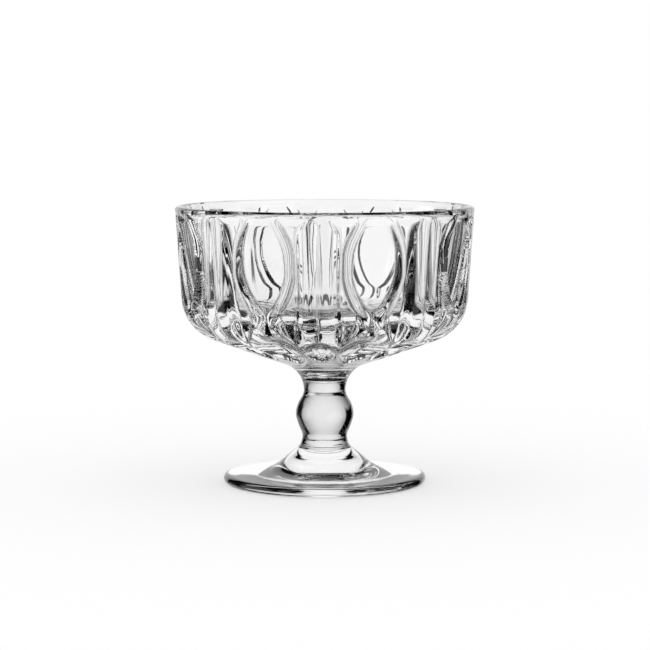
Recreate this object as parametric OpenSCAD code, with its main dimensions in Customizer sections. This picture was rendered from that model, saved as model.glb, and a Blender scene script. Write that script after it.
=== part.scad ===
// Footed dessert glass of clear pressed glass: a relief bowl, a stem with a
// ball knop and a trumpet foot, fused face to face at two flat seams.
// The origin is the middle of the surface that the foot rests on. A relief
// column of the bowl faces -Y.

/* [Bowl] */
// Outer diameter of the rim
rim_d = 100; // [92:1:108]
// Height of the bowl, from its seam on the stem to the top of the rim
bowl_h = 58.2; // [55:0.1:62]
// Outer diameter at the lower end of the tapering wall
wall_low_d = 95.8; // [92:0.2:98]
// Height of the tapering wall, down from the top of the rim
wall_h = 31; // [28:0.5:33]
// Outside radius of the corner between the wall and the underside
corner_r = 15.5; // [14:0.5:17]
// Radius of the hollow sweep from the underside into the neck
sweep_r = 9.6; // [8:0.2:11]
// Glass thickness at the rim
rim_wall = 3; // [2.4:0.1:3.6]
// Glass thickness at the lower end of the wall, through a relief column
low_wall = 5.9; // [5.4:0.1:6.6]
// How much higher the inside corner starts than the outside one
inside_rise = 2; // [0:0.5:4]
// Inside radius of the corner between the wall and the floor
inside_corner_r = 9; // [7:0.5:12]
// How far the middle of the floor dips below the inside corner
floor_dip = 4.5; // [3:0.1:5.5]
// Width of the flat on top of the rounded lip
lip_flat = 0.3; // [0.2:0.05:0.6]

/* [Relief] */
// Number of relief columns round the bowl
columns = 8; // [6:1:10]
// Greatest depth of the clear panels between the columns
panel_depth = 3.7; // [2.6:0.1:4]
// Greatest depth of the grooves beside the raised middle of a column
groove_depth = 3.2; // [2.2:0.1:3.4]
// Greatest depth of the valleys beside the pair of ribs on the raised middle
middle_depth = 0.8; // [0.4:0.1:1.6]
// Distance from the rim down the outline to where the ribs run out
rib_len = 54; // [50:0.5:56]
// Distance from the rim down to the arched tops of the columns' middles
arch_top = 2.4; // [2:0.1:4]
// Height of the arched top of a raised middle
arch_h = 6; // [4:0.2:8]
// Height of the arched top of a middle rib
rib_arch_h = 3.2; // [2:0.2:5]
// Depth of the eyes under the bowl, below the panels
eye_depth = 3; // [2:0.1:3.4]
// Length of an eye along the underside
eye_len = 32; // [26:0.5:34]
// Depth of the leaves under the bowl, below the columns
leaf_depth = 2.8; // [1.8:0.1:3.2]
// Length of a leaf along the underside
leaf_len = 24; // [20:0.5:26]

/* [Stem] */
// Height of the stem between its two seams
stem_h = 22.9; // [22:0.1:26]
// Diameter of the upper neck
neck_d = 14; // [12:0.2:16]
// Distance from the bowl's seam down to the upper neck
neck_drop = 3.8; // [3:0.1:4.6]
// Diameter of the ball knop
knop_d = 19.4; // [18.4:0.2:20.4]
// Height of the knop's middle above the foot's seam
knop_rise = 11.2; // [10.8:0.1:11.6]
// Diameter of the lower neck
low_neck_d = 15; // [14:0.2:16]
// Height of the lower neck above the foot's seam
low_neck_rise = 3.7; // [3.3:0.1:4]

/* [Foot] */
// Diameter of the foot
foot_d = 68; // [62:1:74]
// Height of the foot up to its seam
foot_h = 11.9; // [11:0.1:14]
// Diameter of the seam between foot and stem
foot_seam_d = 18; // [16.6:0.2:19]
// Thickness of the foot's rounded edge
edge_t = 3.2; // [2.6:0.1:4]
// Slope of the outer part of the foot, in degrees
disc_slope = 4; // [2:0.5:6]
// Slope of the dome that carries the stem, in degrees
dome_slope = 40; // [36:1:46]
// Radius of the hollow sweep between dome and disc
dome_sweep_r = 10; // [6:0.5:12]
// Diameter of the shallow hollow under the foot
hollow_d = 48; // [40:1:54]
// Depth of the hollow under the foot
hollow_depth = 1.2; // [0.6:0.1:2]

/* [Hidden] */
$fn = 96;

glass_colour = [0.90, 0.93, 0.94, 0.55];

// Overrun of a cutter past the surface that it opens
overrun = rim_wall;

foot_seam_z = foot_h;
bowl_seam_z = foot_seam_z + stem_h;
rim_z = bowl_seam_z + bowl_h;
rim_r = rim_d / 2;
low_r = wall_low_d / 2;
neck_r = neck_d / 2;
knop_r = knop_d / 2;
low_neck_r = low_neck_d / 2;
foot_seam_r = foot_seam_d / 2;
lip_r = (rim_wall - lip_flat) / 2;

// Lean of the outer and inner wall from the vertical
wall_lean = atan2(rim_r - low_r, wall_h);
inside_low_r = low_r - low_wall;
inside_top_r = rim_r - rim_wall;
inside_low_z = rim_z - wall_h + inside_rise;
inside_lean = atan2(inside_top_r - inside_low_r, rim_z - inside_low_z);

// Centres of the outside corner and of the sweep into the neck, [r, z]
corner_c = [low_r - corner_r * cos(wall_lean), rim_z - wall_h + corner_r * sin(wall_lean)];
sweep_c = [neck_r + sweep_r, bowl_seam_z - neck_drop];

// Direction in which the underside's straight line touches both arcs
centre_gap = norm(sweep_c - corner_c);
centre_dir = atan2(sweep_c[1] - corner_c[1], sweep_c[0] - corner_c[0]);
touch_dir = centre_dir + acos((corner_r + sweep_r) / centre_gap);
sweep_end = 180 - asin(neck_drop / sweep_r);

// Lengths of the outline's stretches, from the rim down
wall_len = norm([rim_r - low_r, wall_h]);
corner_len = corner_r * (-wall_lean - touch_dir) * PI / 180;
under_len = sqrt(pow(centre_gap, 2) - pow(corner_r + sweep_r, 2));
sweep_len = sweep_r * (sweep_end - touch_dir - 180) * PI / 180;

// Steps along each stretch, as shares of it: closer where the relief turns
wall_shares = [0.06, 0.09, 0.13, 0.18, 0.24, 0.32, 0.42, 0.53, 0.64, 0.74, 0.84, 0.93];
corner_shares = [0, 0.14, 0.28, 0.42, 0.57, 0.72, 0.87];
under_shares = [0, 0.2, 0.4, 0.6, 0.8, 1];
sweep_shares = [0.33, 0.66, 1];

// Lines of the relief down half a column. Each row holds shares: of the ribs' length, of the
// half pitch for the side rib's inner and outer line, then of the panel's and groove's depth
relief_shares = [
    [0, 0.69, 0.87, 0, 0],
    [0.03, 0.665, 0.85, 0.14, 0.18],
    [0.07, 0.61, 0.8, 0.32, 0.4],
    [0.12, 0.54, 0.73, 0.43, 0.52],
    [0.18, 0.46, 0.66, 0.54, 0.62],
    [0.26, 0.41, 0.605, 0.65, 0.76],
    [0.36, 0.4, 0.595, 0.79, 0.92],
    [0.46, 0.455, 0.67, 0.92, 0.98],
    [0.55, 0.56, 0.82, 1, 1],
    [0.63, 0.69, 0.97, 0.97, 0.95],
    [0.74, 0.62, 0.93, 0.6, 0.56],
    [0.86, 0.44, 0.75, 0.21, 0.19],
    [1, 0.27, 0.44, 0, 0]
];
// Where the side rib's crest runs between its inner and outer line
crest_share = 0.6;
// Half width of a middle rib on the wall and, wider, below the corner, of the half pitch
rib_width_share = 0.138;
rib_low_width_share = 0.165;
// Width of the slope from the raised middle down into the grooves, of the half pitch
middle_slope_share = 0.133;
// Half widths of an eye and of a leaf, of the half pitch
eye_width_share = 0.58;
leaf_width_share = 0.4;

// Steps across half a pitch: over a middle rib, the side rib's two flanks and the panel
middle_shares = [0, 0.1, 0.5, 0.9, 1];
inner_shares = [0, 0.3];
outer_shares = [0, 0.7];
panel_shares = [0, 0.5];
// Least gap that is kept between neighbouring lines of the relief, of the half pitch
least_gap_share = 0.02;

half_pitch = 180 / columns;

// A point on a circle, [r, z]
function on_circle(c, r, a) = c + r * [cos(a), sin(a)];

// Points on an arc from angle a to angle b
function arc(c, r, a, b, steps) = [for (i = [0:steps]) on_circle(c, r, a + (b - a) * i / steps)];

// Smooth step from 0 at a to 1 at b
function ease(a, b, x) =
    let (t = max(0, min(1, (x - a) / (b - a))))
    t * t * (3 - 2 * t);

// One stop on the outer outline: [point, direction of the normal, distance from the rim]
function wall_stop(t) = [
    [rim_r, rim_z] + t * [low_r - rim_r, -wall_h],
    -wall_lean,
    t * wall_len
];
function corner_stop(t) =
    let (a = -wall_lean + t * (touch_dir + wall_lean))
    [on_circle(corner_c, corner_r, a), a, wall_len + t * corner_len];
function under_stop(t) =
    let (from = on_circle(corner_c, corner_r, touch_dir), to = on_circle(sweep_c, sweep_r, touch_dir + 180))
    [from + t * (to - from), touch_dir, wall_len + corner_len + t * under_len];
function sweep_stop(t) =
    let (a = touch_dir + 180 + t * (sweep_end - touch_dir - 180))
    [on_circle(sweep_c, sweep_r, a), a - 180, wall_len + corner_len + under_len + t * sweep_len];

stops = concat(
    [for (t = wall_shares) wall_stop(t)],
    [for (t = corner_shares) corner_stop(t)],
    [for (t = under_shares) under_stop(t)],
    [for (t = sweep_shares) sweep_stop(t)]
);

// One column of the relief's lines at a distance s down the outline
function line_at(k, s) = lookup(s / rib_len, [for (row = relief_shares) [row[0], row[k]]]);

// Half width of a middle rib at a distance s down the outline, in degrees
function rib_width(s) =
    let (lower = ease(wall_len - corner_len / 4, wall_len + corner_len / 2, s))
    half_pitch * (rib_width_share + lower * (rib_low_width_share - rib_width_share));

// How far a distance s down the outline lies above the foot of an arched top of height h, of h
function arched(h, s) = max(0, (arch_top + h - s) / h);

// Depth of panel, grooves and ribs at an angle a from a column's middle
function rib_cut(a, s) =
    let (
        inner = half_pitch * line_at(1, s),
        outer = half_pitch * line_at(2, s),
        crest = inner + crest_share * (outer - inner),
        inside = a < crest,
        q = inside ? (crest - a) / (crest - inner) : (a - crest) / (outer - crest),
        panel = panel_depth * line_at(3, s),
        groove = groove_depth * line_at(4, s),
        base = groove + (panel - groove) * ease(-0.5, 0.5, inside ? -q : q),
        across = min(1, q),
        side = base * (1 - sqrt(1 - pow(across, 2))),
        width = rib_width(s),
        valley = middle_depth * line_at(4, s),
        past = norm([a / (2 * width), arched(arch_h, s)]) - 1,
        middle = valley + (base - valley) * ease(0, half_pitch * middle_slope_share, past * 2 * width),
        rib = sqrt(max(0, 1 - pow(norm([(a - width) / width, arched(rib_arch_h, s)]), 2)))
    )
    min(side, middle * (1 - rib));

// Depth of an oval dent under the bowl, x degrees from its middle
function dent(x, s, depth, width_share, length, middle) =
    let (q = norm([x / (half_pitch * width_share), (s - middle) / (length / 2)]))
    depth * (1 - pow(min(1, q), 2));

// Depth of the whole relief below the outline
function relief(a, s) =
    let (
        under_start = wall_len + corner_len,
        end = under_start + under_len + sweep_len,
        eye = dent(half_pitch - a, s, eye_depth, eye_width_share, eye_len, under_start + eye_len / 8),
        leaf = dent(a, s, leaf_depth, leaf_width_share, leaf_len, under_start + leaf_len / 4),
        starts = ease(lip_r / 3, lip_r * 1.5, s),
        ends = 1 - ease(end - sweep_len * 0.8, end - sweep_len * 0.1, s)
    )
    max(rib_cut(a, s), eye, leaf) * starts * ends;

// Angles of the steps across half a pitch, at a distance s down the outline
function half_steps(s) =
    let (
        inner = half_pitch * line_at(1, s),
        outer = half_pitch * line_at(2, s),
        crest = inner + crest_share * (outer - inner),
        gap = half_pitch * least_gap_share,
        middle = min(2 * rib_width(s), inner - 2 * gap),
        slope_end = min(middle + half_pitch * middle_slope_share, inner - gap)
    )
    concat(
        [for (t = middle_shares) t * middle],
        [slope_end],
        [for (t = inner_shares) inner + t * (crest - inner)],
        [for (t = outer_shares) crest + t * (outer - crest)],
        [for (t = panel_shares) outer + t * (half_pitch - outer)]
    );

// Angles across a whole pitch, from one column's middle to just short of the next
function pitch_steps(s) =
    let (half = half_steps(s), last = len(half) - 1)
    concat(half, [half_pitch], [for (i = [last:-1:1]) 2 * half_pitch - half[i]]);

// One ring of the outer surface
function ring(stop) = [
    for (k = [0:columns - 1], a = pitch_steps(stop[2]))
        let (
            depth = relief(min(a, 2 * half_pitch - a), stop[2]),
            rz = stop[0] - depth * [cos(stop[1]), sin(stop[1])],
            turn = a + 2 * half_pitch * k - 90
        )
        [rz[0] * cos(turn), rz[0] * sin(turn), rz[1]]
];

// One plain ring of the rounded lip
function plain_ring(rz) = [
    for (k = [0:columns - 1], a = pitch_steps(0))
        let (turn = a + 2 * half_pitch * k - 90)
        [rz[0] * cos(turn), rz[0] * sin(turn), rz[1]]
];

lip_steps = 3;
rings = concat(
    [for (p = arc([rim_r - lip_r, rim_z - lip_r], lip_r, 90, 0, lip_steps)) plain_ring(p)],
    [for (stop = stops) ring(stop)]
);

// Closed skin through a stack of rings, from the top ring down
module skin(rings) {
    around = len(rings[0]);
    down = len(rings);
    sides = [
        for (i = [0:down - 2], j = [0:around - 1])
            let (k = (j + 1) % around, a = i * around, b = a + around)
            each [[a + j, b + k, b + j], [a + j, a + k, b + k]]
    ];
    top = [for (j = [around - 1:-1:0]) j];
    bottom = [for (j = [0:around - 1]) (down - 1) * around + j];
    polyhedron([for (r = rings) each r], concat([top], sides, [bottom]), convexity = 6);
}

// Space inside the bowl: lip, tapering wall, rounded corner and a gently dished floor
module bowl_inside() {
    corner = [
        inside_low_r - inside_corner_r * cos(inside_lean),
        inside_low_z + inside_corner_r * sin(inside_lean)
    ];
    floor_z = corner[1] - inside_corner_r - floor_dip;
    rise = corner[1] - floor_z;
    floor_r = (pow(corner[0], 2) + pow(rise, 2) - pow(inside_corner_r, 2)) / (2 * floor_dip);
    meet = atan2(corner[1] - floor_z - floor_r, corner[0]);
    lip_c = [inside_top_r + lip_r, rim_z - lip_r];
    rotate_extrude()
        polygon(concat(
            [[0, rim_z + overrun], [0, floor_z]],
            [for (i = [1:8]) on_circle([0, floor_z + floor_r], floor_r, -90 + (meet + 90) * i / 8)],
            [for (i = [1:12]) on_circle(corner, inside_corner_r, meet - (meet + inside_lean) * i / 12)],
            arc(lip_c, lip_r, 180, 90, 6),
            [[lip_c[0], rim_z + overrun]]
        ));
}

// Bowl: the pressed outer relief, with the plunger's plain inside taken out
module bowl() {
    color(glass_colour)
        difference() {
            skin(rings);
            bowl_inside();
        }
}

// Radius of the hollow that joins a neck to the knop, tangent to both
function neck_hollow(r, gap) = (pow(gap, 2) + pow(r, 2) - pow(knop_r, 2)) / (2 * (knop_r - r));

// Stem: lower collar, lower neck, ball knop, upper neck and the sweep to the bowl
module stem() {
    knop_z = foot_seam_z + knop_rise;
    low_neck_z = foot_seam_z + low_neck_rise;
    neck_z = bowl_seam_z - neck_drop;
    collar_out = foot_seam_r - low_neck_r;
    collar_r = (pow(collar_out, 2) + pow(low_neck_rise, 2)) / (2 * collar_out);
    low_r = neck_hollow(low_neck_r, knop_z - low_neck_z);
    high_r = neck_hollow(neck_r, neck_z - knop_z);
    collar_c = [low_neck_r + collar_r, low_neck_z];
    low_c = [low_neck_r + low_r, low_neck_z];
    high_c = [neck_r + high_r, neck_z];
    low_dir = atan2(low_neck_z - knop_z, low_c[0]);
    high_dir = atan2(neck_z - knop_z, high_c[0]);
    color(glass_colour)
        rotate_extrude()
            polygon(concat(
                [[0, bowl_seam_z], [0, foot_seam_z]],
                arc(collar_c, collar_r, 180 + asin(low_neck_rise / collar_r), 180, 6),
                arc(low_c, low_r, 180, 180 + low_dir, 8),
                arc([0, knop_z], knop_r, low_dir, high_dir, 16),
                arc(high_c, high_r, 180 + high_dir, 180, 8),
                arc(sweep_c, sweep_r, 180, sweep_end, 5)
            ));
}

// Foot: rounded disc, dome and the shallow hollow that leaves a ring to rest on
module foot() {
    edge_r = edge_t / 2;
    edge_c = [foot_d / 2 - edge_r, edge_r];
    disc_top = on_circle(edge_c, edge_r, 90 - disc_slope);
    // Where the lines of disc and dome would cross
    cross_r = (foot_seam_z + foot_seam_r * tan(dome_slope) - disc_top[1] - disc_top[0] * tan(disc_slope))
        / (tan(dome_slope) - tan(disc_slope));
    cross_z = disc_top[1] + (disc_top[0] - cross_r) * tan(disc_slope);
    bend = dome_slope - disc_slope;
    back = dome_sweep_r * tan(bend / 2);
    sweep_from = [cross_r + back * cos(disc_slope), cross_z - back * sin(disc_slope)];
    sweep_at = sweep_from + dome_sweep_r * [sin(disc_slope), cos(disc_slope)];
    hollow_r = hollow_d / 2;
    dish_r = (pow(hollow_r, 2) + pow(hollow_depth, 2)) / (2 * hollow_depth);
    dish_span = asin(hollow_r / dish_r);
    color(glass_colour)
        rotate_extrude()
            polygon(concat(
                [[0, foot_seam_z]],
                arc([0, hollow_depth - dish_r], dish_r, 90, 90 - dish_span, 8),
                arc(edge_c, edge_r, -90, 90 - disc_slope, 12),
                arc(sweep_at, dome_sweep_r, -90 - disc_slope, -90 - dome_slope, 8),
                [[foot_seam_r, foot_seam_z]]
            ));
}

bowl();
stem();
foot();
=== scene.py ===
"""Parfait glass: a pressed-glass dessert bowl on a knop stem and a round foot.

Named lengths are in millimetres and named angles in degrees, as in the part's source. An outline is a
list of (radius, height) points, and each piece is turned about the Z axis.
"""
from math import asin, atan2, cos, pi, radians, sin

import bpy
import numpy as np
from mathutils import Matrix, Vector


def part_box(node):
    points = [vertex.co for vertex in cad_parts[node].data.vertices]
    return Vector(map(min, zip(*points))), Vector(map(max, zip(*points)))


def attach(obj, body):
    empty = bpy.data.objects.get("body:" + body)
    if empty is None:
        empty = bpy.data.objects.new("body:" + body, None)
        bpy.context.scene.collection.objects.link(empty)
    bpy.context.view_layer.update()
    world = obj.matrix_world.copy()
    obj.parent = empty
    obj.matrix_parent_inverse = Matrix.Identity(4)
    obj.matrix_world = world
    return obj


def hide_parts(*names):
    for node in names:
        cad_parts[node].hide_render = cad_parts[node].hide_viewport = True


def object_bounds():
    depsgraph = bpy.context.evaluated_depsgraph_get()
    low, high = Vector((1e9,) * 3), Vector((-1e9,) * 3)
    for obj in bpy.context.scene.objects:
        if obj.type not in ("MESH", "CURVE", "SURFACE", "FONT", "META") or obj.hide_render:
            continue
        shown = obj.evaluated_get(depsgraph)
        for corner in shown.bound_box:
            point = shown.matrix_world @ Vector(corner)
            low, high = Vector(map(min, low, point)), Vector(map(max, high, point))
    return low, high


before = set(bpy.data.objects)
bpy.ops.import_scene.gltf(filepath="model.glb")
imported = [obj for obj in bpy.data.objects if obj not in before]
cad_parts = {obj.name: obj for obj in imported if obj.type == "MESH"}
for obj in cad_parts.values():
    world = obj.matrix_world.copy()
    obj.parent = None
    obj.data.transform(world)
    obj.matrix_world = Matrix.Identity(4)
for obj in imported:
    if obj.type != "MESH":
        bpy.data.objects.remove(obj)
CAD_BOX = [list(corner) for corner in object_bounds()]
scene = bpy.context.scene
MM = 0.001


def in_mm(length):
    """A length of the frame in millimetres, to a hundredth."""
    return round(length / MM, 2)


def in_metres(*place):
    """A place in the scene, as Blender takes it."""
    return Vector([length * MM for length in place])


# Sizes that the frame gives
RIM_R, RIM_Z = in_mm(CAD_BOX[1][0]), in_mm(CAD_BOX[1][2])
BOWL_SEAM_Z = in_mm(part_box("bowl")[0].z)
FOOT_SEAM_Z = in_mm(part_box("foot")[1].z)
FOOT_R = in_mm(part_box("foot")[1].x)

# Outside of the bowl before the relief: height and lower radius of the tapering wall, radius of the
# corner, and of the hollow sweep into the neck
WALL_H, WALL_LOW_R = 31.0, 47.9
CORNER_R, SWEEP_R = 15.5, 9.6
# The upper neck, and how far it lies below the bowl's seam
NECK_R, NECK_DROP = 7.0, 3.8
NECK_Z = BOWL_SEAM_Z - NECK_DROP

# Inside of the bowl: thickness of the glass at the rim and at the wall's lower end, how much higher the
# corner starts than the outside one, its radius, and how far the floor dips below it
RIM_WALL, LOW_WALL, INSIDE_RISE = 3.0, 5.9, 2.0
IN_CORNER_R, FLOOR_DIP = 9.0, 4.5
# Height of the rounded lip, of half the rim's thickness
LIP_SHARE = 0.9

# Relief columns round the bowl, and half the pitch between them
COLUMNS = 8
HALF = 180.0 / COLUMNS
# Length of the ribs down the outline, and greatest depth of the panels and grooves
RIB_LEN, PANEL_DEPTH, GROOVE_DEPTH = 54.0, 3.7, 3.2
# Lines of the relief down half a column. Each row holds shares: of the ribs' length, of the half
# pitch for the side rib's inner and outer line, then of the panel's and the groove's depth
RELIEF = np.array([
    (0, 0.69, 0.87, 0, 0),
    (0.03, 0.665, 0.85, 0.14, 0.18),
    (0.07, 0.61, 0.8, 0.32, 0.4),
    (0.12, 0.54, 0.73, 0.43, 0.52),
    (0.18, 0.46, 0.66, 0.54, 0.62),
    (0.26, 0.41, 0.605, 0.65, 0.76),
    (0.36, 0.4, 0.595, 0.79, 0.92),
    (0.46, 0.455, 0.67, 0.92, 0.98),
    (0.55, 0.56, 0.82, 1, 1),
    (0.63, 0.69, 0.97, 0.97, 0.95),
    (0.74, 0.62, 0.93, 0.6, 0.56),
    (0.86, 0.44, 0.75, 0.21, 0.19),
    (1, 0.27, 0.44, 0, 0),
])
# Where the side rib's crest runs between its inner and outer line, and how far to each side of it the
# depth changes from the groove's to the panel's, of a flank's width
CREST_SHARE, CREST_BLEND = 0.6, 0.5
# Half width of a middle rib on the wall and, wider, below it, of the half pitch
RIB_SHARE, RIB_LOW_SHARE = 0.138, 0.165
# Where it widens, from and to, past the wall's lower end, of the corner's length
RIB_WIDENS = (-0.25, 0.5)
# Greatest depth of the valleys beside the middle ribs, and width of the slope from the raised middle down
# into the grooves, of the half pitch
MIDDLE_DEPTH, MIDDLE_SLOPE = 0.8, 0.133
# Distance from the rim to the arched tops, and height of the arch of a raised middle and of its ribs
ARCH_TOP, ARCH_H, RIB_ARCH_H = 2.4, 6.0, 3.2
# Star under the bowl, an eye below each panel and a leaf below each column: depth, length, half width
# as a share of the half pitch, and how far past the corner its middle lies, as a share of its length
EYE_DEPTH, EYE_LEN, EYE_SHARE, EYE_SET = 3.0, 32.0, 0.58, 0.125
LEAF_DEPTH, LEAF_LEN, LEAF_SHARE, LEAF_SET = 2.8, 24.0, 0.4, 0.25
# Distances down the outline over which the relief sets in from the rim, and runs out before the seam
SETS_IN = (1.2, 4.6)
RUNS_OUT = (6.0, 0.8)

# Radius of the seam between foot and stem
FOOT_SEAM_R = 9.0
# Outline of the stem up to the upper neck: collar, lower neck and knop
STEM_OUTLINE = [
    (FOOT_SEAM_R, FOOT_SEAM_Z), (8.2, 12.9), (7.75, 14.2), (7.5, 15.6), (7.75, 17.0), (8.5, 18.7),
    (9.2, 20.6), (9.62, 22.2), (9.72, 23.6), (9.45, 25.2), (8.9, 26.8), (8.15, 28.2), (7.4, 29.5),
    (NECK_R, NECK_Z),
]
# Outline of the foot's top, from its edge up the dome
FOOT_TOP = [
    (32.6, 3.2), (28.0, 3.45), (22.3, 4.05), (18.2, 5.1), (14.6, 7.3), (11.6, 9.9),
    (FOOT_SEAM_R, FOOT_SEAM_Z),
]
# Radius of the foot's rounded edge, and angle at which its arc ends at the top
EDGE_R, EDGE_END = 1.6, 80
# Shallow hollow under the foot, and a ring of points on the flat face that the foot rests on
HOLLOW_R, HOLLOW_DEPTH, REST_R = 24.0, 1.2, 30.0

# Mesh of the bowl: points round it, down its outside and inside, and over the lip
BOWL_TURNS, BOWL_ROWS, INSIDE_ROWS, LIP_POINTS = 960, 420, 160, 20
# Points on the arcs of the bowl's corner and sweep, and of its inside
CORNER_POINTS, SWEEP_POINTS, INSIDE_POINTS = 80, 60, 60
# Mesh of the stem and foot: points round them, and on each of their stretches
ROUND_TURNS = 256
STEM_STEPS, STEM_SWEEP_POINTS = 10, 16
TOP_STEPS, EDGE_POINTS, HOLLOW_POINTS = 14, 24, 30
# Least radius of the points of an outline. A flat cap closes what is left at the axis
LEAST_R = 0.05

# Glass: its index, and the height and density of the faint waves that the mould leaves on each piece
GLASS_IOR = 1.52
BOWL_WAVE, STEM_WAVE, FOOT_WAVE = (0.04, 60), (0.01, 90), (0.04, 70)
WAVE_DETAIL, WAVE_ROUGHNESS = 1.0, 0.3
# Painted shade: stops of how far the surface turns away, from 0 to 1, with the grey that the glass is tinted
# there, which darkens it towards its outline as shade would. The bowl darkens only near its outline, and the
# stem, which is solid and round, from its middle on
BOWL_PAINTED_EDGE_SHADE = ((0.0, 1.0), (0.55, 1.0), (0.7, 0.6), (0.82, 0.15), (0.93, 0.02))
STEM_PAINTED_EDGE_SHADE = ((0.0, 0.88), (0.06, 0.85), (0.14, 0.72), (0.23, 0.5), (0.3, 0.33), (0.39, 0.16), (0.5, 0.05))

# Floor: it lies just below the foot, so that no two faces share a place
FLOOR_R, FLOOR_DROP, FLOOR_SIDES = 360.0, 0.1, 96
FLOOR_GREY, FLOOR_GLOW, FLOOR_ROUGHNESS = 0.5, 0.55, 0.9

# Round light panels: turn of the panel's middle from +Y towards -X, its rise, the panel's radius, and the
# width of its soft edge. Each lies behind the glass in the view that it is named after, and the underside
# panel lies below the photograph's one, for the light in the bowl's underside
PHOTO_PANEL = (0, 0, 39, 5)
UNDERSIDE_PANEL = (0, -26, 36, 6)
HIGH_VIEW_PANEL = (0, -74, 21, 8)
FRONT_RIGHT_VIEW_PANEL = (45, -27, 17, 8)
BACK_LEFT_VIEW_PANEL = (-135, -16, 34, 12)
RIGHT_VIEW_PANEL = (98, -3, 25, 8)
VIEW_PANELS = (HIGH_VIEW_PANEL, FRONT_RIGHT_VIEW_PANEL, BACK_LEFT_VIEW_PANEL, RIGHT_VIEW_PANEL)
# Light of the dark room round the panels, and light that diffuse surfaces get from everywhere
ROOM_LEVEL, DIFFUSE_LEVEL = 0.004, 0.9
# Greatest cosine that is taken for an angle, so that rounding can't lift it past 1
TOP_COSINE = 0.999999

# Camera: the eye's distance from the axis, its turn to the right and its height, the place that it looks
# at, and the width that the picture spans at that distance
EYE_AWAY, EYE_TURN, EYE_Z = 810.0, 2.5, 131.0
LOOK_AT = (0.1, 0.0, 53.0)
VIEW_WIDTH = 216.7
SENSOR = 36.0

# How often light is followed through or off glass, and through the fused faces
BOUNCES, CLEAR_BOUNCES = 7, 32


def ease(a, b, x):
    """Smooth step from 0 at a to 1 at b."""
    t = np.clip((x - a) / (b - a), 0, 1)
    return t * t * (3 - 2 * t)


def curve(x, xs, ys):
    """Smooth curve through points, without overshoot."""
    gap = np.diff(xs)
    slope = np.diff(ys) / gap
    tangent = np.zeros(len(xs))
    for i in range(1, len(xs) - 1):
        if slope[i - 1] * slope[i] > 0:
            before = 2 * gap[i] + gap[i - 1]
            after = gap[i] + 2 * gap[i - 1]
            tangent[i] = (before + after) / (before / slope[i - 1] + after / slope[i])
    tangent[0] = slope[0]
    tangent[-1] = slope[-1]
    x = np.clip(x, xs[0], xs[-1])
    k = np.clip(np.searchsorted(xs, x, side="right") - 1, 0, len(xs) - 2)
    t = (x - xs[k]) / gap[k]
    return ((2 * t**3 - 3 * t**2 + 1) * ys[k] + (t**3 - 2 * t**2 + t) * gap[k] * tangent[k]
            + (-2 * t**3 + 3 * t**2) * ys[k + 1] + (t**3 - t**2) * gap[k] * tangent[k + 1])


def arc(centre, r, start, end, count):
    """Points on an arc between two angles in radians."""
    return [(centre[0] + r * cos(t), centre[1] + r * sin(t)) for t in np.linspace(start, end, count)]


def through(points, steps):
    """Smooth outline through the points, in equal steps from each to the next."""
    p = np.array(points, float)
    p = np.vstack([2 * p[0] - p[1], p, 2 * p[-1] - p[-2]])
    outline = []
    for i in range(1, len(p) - 2):
        a, b, c, d = p[i - 1:i + 3]
        for t in np.linspace(0, 1, steps, endpoint=False):
            outline.append(0.5 * (2 * b + (c - a) * t + (2 * a - 5 * b + 4 * c - d) * t**2
                                  + (3 * b - a - 3 * c + d) * t**3))
    return [tuple(q) for q in outline] + [tuple(p[-2])]


def even(points, count):
    """The same outline in evenly spaced points, and the distance along it to each."""
    p = np.array(points, float)
    s = np.concatenate([[0], np.cumsum(np.linalg.norm(np.diff(p, axis=0), axis=1))])
    at = np.linspace(0, s[-1], count)
    return np.c_[np.interp(at, s, p[:, 0]), np.interp(at, s, p[:, 1])], at


def wall_and_corner(top, low, corner_r):
    """Lean of a tapering wall, and centre of the corner that it runs into."""
    lean = atan2(top[0] - low[0], top[1] - low[1])
    return lean, low + corner_r * np.array([-cos(lean), sin(lean)])


def neck_sweep(start, count):
    """Points on the hollow sweep into the neck, from the angle start to the bowl's seam."""
    end = pi - asin((BOWL_SEAM_Z - NECK_Z) / SWEEP_R)
    return arc((NECK_R + SWEEP_R, NECK_Z), SWEEP_R, start, end, count)


def bowl_outline():
    """Outside of the bowl before the relief: its points, the distance to each, and wall and corner length."""
    top = np.array([RIM_R, RIM_Z])
    low = np.array([WALL_LOW_R, RIM_Z - WALL_H])
    lean, corner_c = wall_and_corner(top, low, CORNER_R)
    gap = np.array([NECK_R + SWEEP_R, NECK_Z]) - corner_c
    touch = atan2(gap[1], gap[0]) + np.arccos((CORNER_R + SWEEP_R) / np.hypot(*gap))
    round_corner = arc(corner_c, CORNER_R, -lean, touch, CORNER_POINTS)
    line, s = even([tuple(top)] + round_corner + neck_sweep(touch + pi, SWEEP_POINTS), BOWL_ROWS)
    return line, s, np.hypot(*(top - low)), CORNER_R * (-lean - touch)


def bowl_inside():
    """Inside of the bowl: wall, corner and a shallow round floor."""
    top = np.array([RIM_R - RIM_WALL, RIM_Z])
    low = np.array([WALL_LOW_R - LOW_WALL, RIM_Z - WALL_H + INSIDE_RISE])
    lean, corner_c = wall_and_corner(top, low, IN_CORNER_R)
    # Height of the floor's middle, to a hundredth of a millimetre
    floor_z = round(corner_c[1] - IN_CORNER_R - FLOOR_DIP, 2)
    rise = corner_c[1] - floor_z
    floor_r = (corner_c[0]**2 + rise**2 - IN_CORNER_R**2) / (2 * (rise - IN_CORNER_R))
    floor_c = (0, floor_z + floor_r)
    touch = atan2(corner_c[1] - floor_c[1], corner_c[0])
    round_corner = arc(corner_c, IN_CORNER_R, -lean, touch, INSIDE_POINTS)
    dish = arc(floor_c, floor_r, touch, -pi / 2, INSIDE_POINTS)
    line, _ = even([tuple(top)] + round_corner + dish[1:], INSIDE_ROWS)
    return line


def arched(height, s):
    """How far a distance s down the outline lies above the foot of an arched top, of its height."""
    return np.maximum((ARCH_TOP + height - s) / height, 0)


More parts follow.
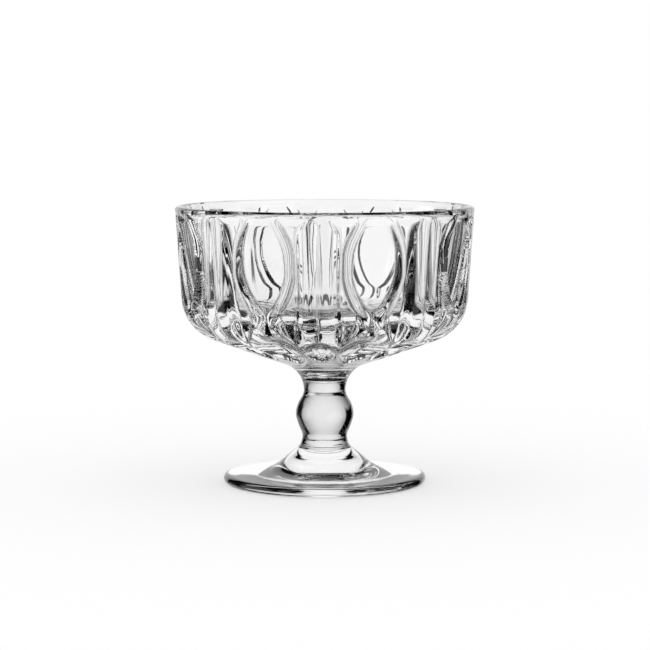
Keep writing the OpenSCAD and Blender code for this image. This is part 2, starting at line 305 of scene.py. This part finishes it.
def rib_cut(a, s, wall, corner):
    """Depth of panel, grooves and ribs at an angle a from a column's middle."""
    inner, outer, panel, groove = (
        curve(s[:, 0] / RIB_LEN, RELIEF[:, 0], RELIEF[:, k])[:, None] * full
        for k, full in ((1, HALF), (2, HALF), (3, PANEL_DEPTH), (4, GROOVE_DEPTH)))
    crest = inner + CREST_SHARE * (outer - inner)
    # Side rib: q is 0 on its crest and 1 at its inner and outer line
    q = np.where(a < crest, (crest - a) / (crest - inner), (a - crest) / (outer - crest))
    base = groove + (panel - groove) * ease(-CREST_BLEND, CREST_BLEND, np.where(a < crest, -q, q))
    side = base * (1 - np.sqrt(1 - np.clip(q, 0, 1)**2))
    # Raised middle, arched at the top, with its slopes down into the grooves
    lower = ease(wall + RIB_WIDENS[0] * corner, wall + RIB_WIDENS[1] * corner, s)
    width = HALF * (RIB_SHARE + (RIB_LOW_SHARE - RIB_SHARE) * lower)
    valley = MIDDLE_DEPTH * groove / GROOVE_DEPTH
    past = np.hypot(a / (2 * width), arched(ARCH_H, s)) - 1
    middle = valley + (base - valley) * ease(0, HALF * MIDDLE_SLOPE, past * 2 * width)
    # The pair of ribs on it: q is 0 on a rib's crest and 1 at its sides
    q = np.clip(np.hypot((a - width) / width, arched(RIB_ARCH_H, s)), 0, 1)
    return np.minimum(side, middle * (1 - np.sqrt(1 - q**2)))


def dent(x, s, depth, share, length, middle):
    """Depth of an oval dent, x degrees from its middle."""
    q = np.sqrt((x / (HALF * share))**2 + ((s - middle) / (length / 2))**2)
    return depth * (1 - np.clip(q, 0, 1)**2)


def relief(a, s, wall, corner):
    """Depth of the whole relief below the outline, at an angle a from the nearest column's middle."""
    under = wall + corner
    eye = dent(HALF - a, s, EYE_DEPTH, EYE_SHARE, EYE_LEN, under + EYE_SET * EYE_LEN)
    leaf = dent(a, s, LEAF_DEPTH, LEAF_SHARE, LEAF_LEN, under + LEAF_SET * LEAF_LEN)
    depth = np.maximum(np.maximum(rib_cut(a, s, wall, corner), eye), leaf)
    seam = s[-1, 0]
    return depth * ease(*SETS_IN, s) * (1 - ease(seam - RUNS_OUT[0], seam - RUNS_OUT[1], s))


def make_piece(name, verts, parts):
    """A smooth piece from its points and its parts, each one (faces, material index)."""
    faces = [part for part, _ in parts]
    loops = np.concatenate([part.ravel() for part in faces]).astype(np.int32)
    sizes = np.concatenate([np.full(len(part), part.shape[1]) for part in faces]).astype(np.int32)
    starts = np.concatenate([[0], np.cumsum(sizes)[:-1]]).astype(np.int32)
    index = np.concatenate([np.full(len(part), i) for part, i in parts]).astype(np.int32)
    mesh = bpy.data.meshes.new(name)
    mesh.vertices.add(len(verts))
    mesh.vertices.foreach_set("co", (verts * MM).astype(np.float32).ravel())
    mesh.loops.add(len(loops))
    mesh.loops.foreach_set("vertex_index", loops)
    mesh.polygons.add(len(sizes))
    mesh.polygons.foreach_set("loop_start", starts)
    mesh.polygons.foreach_set("loop_total", sizes)
    mesh.polygons.foreach_set("use_smooth", np.ones(len(sizes), dtype=bool))
    mesh.polygons.foreach_set("material_index", index)
    mesh.update(calc_edges=True)
    piece = bpy.data.objects.new(name, mesh)
    scene.collection.objects.link(piece)
    return piece


def turned(outline, turns):
    """Rows of points: an outline turned about the axis."""
    angle = np.linspace(0, 2 * pi, turns, endpoint=False)
    r, z = outline[:, 0:1], outline[:, 1:2]
    return np.stack([r * np.cos(angle), r * np.sin(angle), np.repeat(z, turns, 1)], -1)


def skin(name, grid, cap_index):
    """Closed piece from rows of points round the axis.

    cap_index: material index of the caps that close the first and the last row. The sides have index 0.
    """
    rows, turns = grid.shape[:2]
    verts = grid.reshape(-1, 3)
    ends = [[0, 0, grid[row, :, 2].mean()] for row in (0, -1)]
    here = np.arange(turns)
    there = (here + 1) % turns
    above = np.arange(rows - 1)[:, None] * turns
    below = above + turns
    sides = np.stack([below + here, below + there, above + there, above + here], -1).reshape(-1, 4)
    last = (rows - 1) * turns
    first_cap = np.stack([here, there, np.full(turns, len(verts))], -1)
    last_cap = np.stack([np.full(turns, len(verts) + 1), last + there, last + here], -1)
    parts = [(sides, 0), (first_cap, cap_index[0]), (last_cap, cap_index[1])]
    return make_piece(name, np.vstack([verts, ends]), parts)


def make_bowl():
    """Bowl: the plain inside, the rounded lip, and the outside with the relief pressed in."""
    line, s, wall, corner = bowl_outline()
    along = np.gradient(line, axis=0)
    along /= np.linalg.norm(along, axis=1)[:, None]
    out = np.c_[-along[:, 1], along[:, 0]]
    angle = np.linspace(0, 2 * pi, BOWL_TURNS, endpoint=False)
    # Angle from the nearest column's middle. One column faces -Y
    a = np.abs((np.degrees(angle) + 90 + HALF) % (2 * HALF) - HALF)
    a_grid, s_grid = np.meshgrid(a, s)
    depth = relief(a_grid, s_grid, wall, corner)
    r = line[:, 0:1] - out[:, 0:1] * depth
    z = line[:, 1:2] - out[:, 1:2] * depth
    outside = np.stack([r * np.cos(angle), r * np.sin(angle), z], -1)
    half = RIM_WALL / 2
    lip = half * LIP_SHARE
    t = np.linspace(0, pi, LIP_POINTS)[1:-1]
    rim = np.c_[RIM_R - half - half * np.cos(t), RIM_Z - lip + lip * np.sin(t)]
    inside = bowl_inside()[::-1]
    inside = inside[(inside[:, 1] <= RIM_Z - lip) & (inside[:, 0] > LEAST_R)]
    outside = outside[line[:, 1] <= RIM_Z - lip]
    plain = turned(np.vstack([inside, rim]), BOWL_TURNS)
    return skin("glass_bowl", np.concatenate([plain, outside]), (0, 1))


def make_stem():
    """Stem: lower collar, lower neck, ball knop, upper neck and the sweep to the bowl."""
    outline = through(STEM_OUTLINE, STEM_STEPS) + neck_sweep(pi, STEM_SWEEP_POINTS)[1:]
    return skin("glass_stem", turned(np.array(outline[::-1]), ROUND_TURNS), (1, 1))


def make_foot():
    """Foot: the hollow under it, the ring that it rests on, the rounded edge, and the top with its dome."""
    dish_r = (HOLLOW_R**2 + HOLLOW_DEPTH**2) / (2 * HOLLOW_DEPTH)
    hollow = [(r + LEAST_R, (dish_r**2 - r**2)**0.5 - (dish_r - HOLLOW_DEPTH))
              for r in np.linspace(0, HOLLOW_R, HOLLOW_POINTS)]
    edge = arc((FOOT_R - EDGE_R, EDGE_R), EDGE_R, -pi / 2, radians(EDGE_END), EDGE_POINTS)
    outline = hollow + [(REST_R, 0.0)] + edge + through(FOOT_TOP, TOP_STEPS)[1:]
    return skin("glass_foot", turned(np.array(outline[::-1]), ROUND_TURNS), (1, 0))


def new_material(name):
    """A material and its node tree."""
    material = bpy.data.materials.new(name)
    material.use_nodes = True
    return material, material.node_tree


def calc(tree, op, a, b=None, clamp=False):
    """Output of a Math node. Its inputs are numbers or other outputs."""
    node = tree.nodes.new("ShaderNodeMath")
    node.operation = op
    node.use_clamp = clamp
    for i, value in enumerate((a, b)):
        if isinstance(value, (int, float)):
            node.inputs[i].default_value = value
        elif value is not None:
            tree.links.new(value, node.inputs[i])
    return node.outputs[0]


def add_waves(tree, shader, height, density):
    """Faint waviness of the mould's skin."""
    place = tree.nodes.new("ShaderNodeTexCoord")
    noise = tree.nodes.new("ShaderNodeTexNoise")
    noise.inputs["Scale"].default_value = density
    noise.inputs["Detail"].default_value = WAVE_DETAIL
    noise.inputs["Roughness"].default_value = WAVE_ROUGHNESS
    bump = tree.nodes.new("ShaderNodeBump")
    bump.inputs["Strength"].default_value = 1.0
    bump.inputs["Distance"].default_value = height * MM
    tree.links.new(place.outputs["Object"], noise.inputs["Vector"])
    tree.links.new(noise.outputs[0], bump.inputs["Height"])
    tree.links.new(bump.outputs["Normal"], shader.inputs["Normal"])


def add_painted_edge_shade(tree, shader, stops):
    """Painted shade: darken the glass's tint where its surface turns away."""
    turned_away = tree.nodes.new("ShaderNodeLayerWeight")
    shade = tree.nodes.new("ShaderNodeValToRGB")
    ramp = shade.color_ramp.elements
    while len(ramp) < len(stops):
        ramp.new(0.5)
    for stop, (at, grey) in zip(ramp, stops):
        stop.position = at
        stop.color = (grey, grey, grey, 1)
    tree.links.new(turned_away.outputs["Facing"], shade.inputs["Fac"])
    tree.links.new(shade.outputs["Color"], shader.inputs["Base Color"])


def clear_glass(name, wave, edge):
    """Fire-polished clear pressed glass, given painted shade towards its outline when there are stops for it.
    """
    material, tree = new_material(name)
    shader = tree.nodes["Principled BSDF"]
    shader.inputs["Base Color"].default_value = (1, 1, 1, 1)
    shader.inputs["Roughness"].default_value = 0.0
    shader.inputs["IOR"].default_value = GLASS_IOR
    shader.inputs["Transmission Weight"].default_value = 1.0
    add_waves(tree, shader, *wave)
    # Painted shade: the glass's tint darkens as its surface turns away
    if edge:
        add_painted_edge_shade(tree, shader, edge)
    return material


def fused_glass():
    """The faces where two pieces were fused hot: no air between them, so light passes straight on."""
    material, tree = new_material("fused_face")
    tree.nodes.clear()
    clear = tree.nodes.new("ShaderNodeBsdfTransparent")
    output = tree.nodes.new("ShaderNodeOutputMaterial")
    tree.links.new(clear.outputs[0], output.inputs[0])
    return material


def pale_floor():
    """Matt grey that takes the shadow, with a glow for the camera alone, which makes it almost white."""
    material, tree = new_material("floor_pale")
    shader = tree.nodes["Principled BSDF"]
    shader.inputs["Base Color"].default_value = (FLOOR_GREY, FLOOR_GREY, FLOOR_GREY, 1)
    shader.inputs["Roughness"].default_value = FLOOR_ROUGHNESS
    shader.inputs["Specular IOR Level"].default_value = 0.0
    path = tree.nodes.new("ShaderNodeLightPath")
    glow = tree.nodes.new("ShaderNodeEmission")
    both = tree.nodes.new("ShaderNodeAddShader")
    strength = calc(tree, "MULTIPLY", path.outputs["Is Camera Ray"], FLOOR_GLOW)
    tree.links.new(strength, glow.inputs["Strength"])
    tree.links.new(shader.outputs[0], both.inputs[0])
    tree.links.new(glow.outputs[0], both.inputs[1])
    tree.links.new(both.outputs[0], tree.nodes["Material Output"].inputs[0])
    return material


def make_floor():
    """Round floor. Glass doesn't show it, so that panels below its level show through the glass."""
    r = FLOOR_R * MM
    angles = [2 * pi * i / FLOOR_SIDES for i in range(FLOOR_SIDES)]
    mesh = bpy.data.meshes.new("floor")
    mesh.from_pydata([(r * cos(t), r * sin(t), 0) for t in angles], [], [tuple(range(FLOOR_SIDES))])
    mesh.materials.append(pale_floor())
    piece = bpy.data.objects.new("floor", mesh)
    piece.location = in_metres(0, 0, -FLOOR_DROP)
    piece.visible_transmission = False
    piece.visible_glossy = False
    scene.collection.objects.link(piece)
    return piece


def light_panel(tree, direction, turn, rise, radius, soft):
    """A round bright field about one direction, with a soft edge."""
    level = cos(radians(rise))
    middle = (-sin(radians(turn)) * level, cos(radians(turn)) * level, sin(radians(rise)))
    product = tree.nodes.new("ShaderNodeVectorMath")
    product.operation = "DOT_PRODUCT"
    product.inputs[1].default_value = middle
    tree.links.new(direction, product.inputs[0])
    cosine = calc(tree, "MINIMUM", product.outputs["Value"], TOP_COSINE)
    away = calc(tree, "MULTIPLY", calc(tree, "ARCCOSINE", cosine), 180 / pi)
    inward = calc(tree, "SUBTRACT", radius + soft / 2, away)
    edge = tree.nodes.new("ShaderNodeMapRange")
    edge.interpolation_type = "SMOOTHSTEP"
    tree.links.new(calc(tree, "DIVIDE", inward, soft, clamp=True), edge.inputs["Value"])
    return edge.outputs[0]


def studio_light():
    """Light panels in a dark room for the glass, plain white for the camera, even light for the floor."""
    world = bpy.data.worlds.new("studio")
    scene.world = world
    world.use_nodes = True
    tree = world.node_tree
    direction = tree.nodes.new("ShaderNodeTexCoord").outputs["Generated"]
    lit = light_panel(tree, direction, *PHOTO_PANEL)
    for panel in (UNDERSIDE_PANEL, *VIEW_PANELS):
        lit = calc(tree, "MAXIMUM", lit, light_panel(tree, direction, *panel))
    lit = calc(tree, "ADD", calc(tree, "MULTIPLY", lit, 1.0 - ROOM_LEVEL), ROOM_LEVEL)
    path = tree.nodes.new("ShaderNodeLightPath")
    diffuse = calc(tree, "MULTIPLY", path.outputs["Is Diffuse Ray"], DIFFUSE_LEVEL)
    plain = calc(tree, "MAXIMUM", path.outputs["Is Camera Ray"], diffuse)
    sky = tree.nodes["Background"]
    sky.inputs["Color"].default_value = (1, 1, 1, 1)
    tree.links.new(calc(tree, "MAXIMUM", lit, plain), sky.inputs["Strength"])


def place_camera():
    """Camera with the photograph's view."""
    data = bpy.data.cameras.new("camera")
    data.sensor_width = SENSOR
    data.lens = SENSOR * EYE_AWAY / VIEW_WIDTH
    camera = bpy.data.objects.new("camera", data)
    scene.collection.objects.link(camera)
    turn = radians(EYE_TURN)
    eye = in_metres(sin(turn) * EYE_AWAY, -cos(turn) * EYE_AWAY, EYE_Z)
    camera.location = eye
    camera.rotation_euler = (in_metres(*LOOK_AT) - eye).to_track_quat("-Z", "Y").to_euler()
    scene.camera = camera


def set_light_paths():
    """End light paths early, which leaves the light that is trapped in the glass dark."""
    scene.cycles.max_bounces = BOUNCES
    scene.cycles.transmission_bounces = BOUNCES
    scene.cycles.glossy_bounces = BOUNCES
    scene.cycles.transparent_max_bounces = CLEAR_BOUNCES
    scene.cycles.use_denoising = True


fused = fused_glass()
# Each piece with its glass's waves and the stops of its painted edge shade; the foot has none
for make, node, wave, edge in ((make_bowl, "bowl", BOWL_WAVE, BOWL_PAINTED_EDGE_SHADE),
                               (make_stem, "stem", STEM_WAVE, STEM_PAINTED_EDGE_SHADE),
                               (make_foot, "foot", FOOT_WAVE, ())):
    piece = make()
    piece.data.materials.append(clear_glass(node + "_clear_glass", wave, edge))
    piece.data.materials.append(fused)
    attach(piece, "root")
    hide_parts(node)

floor = make_floor()
studio_light()
place_camera()
set_light_paths()
scene.view_settings.view_transform = "Standard"
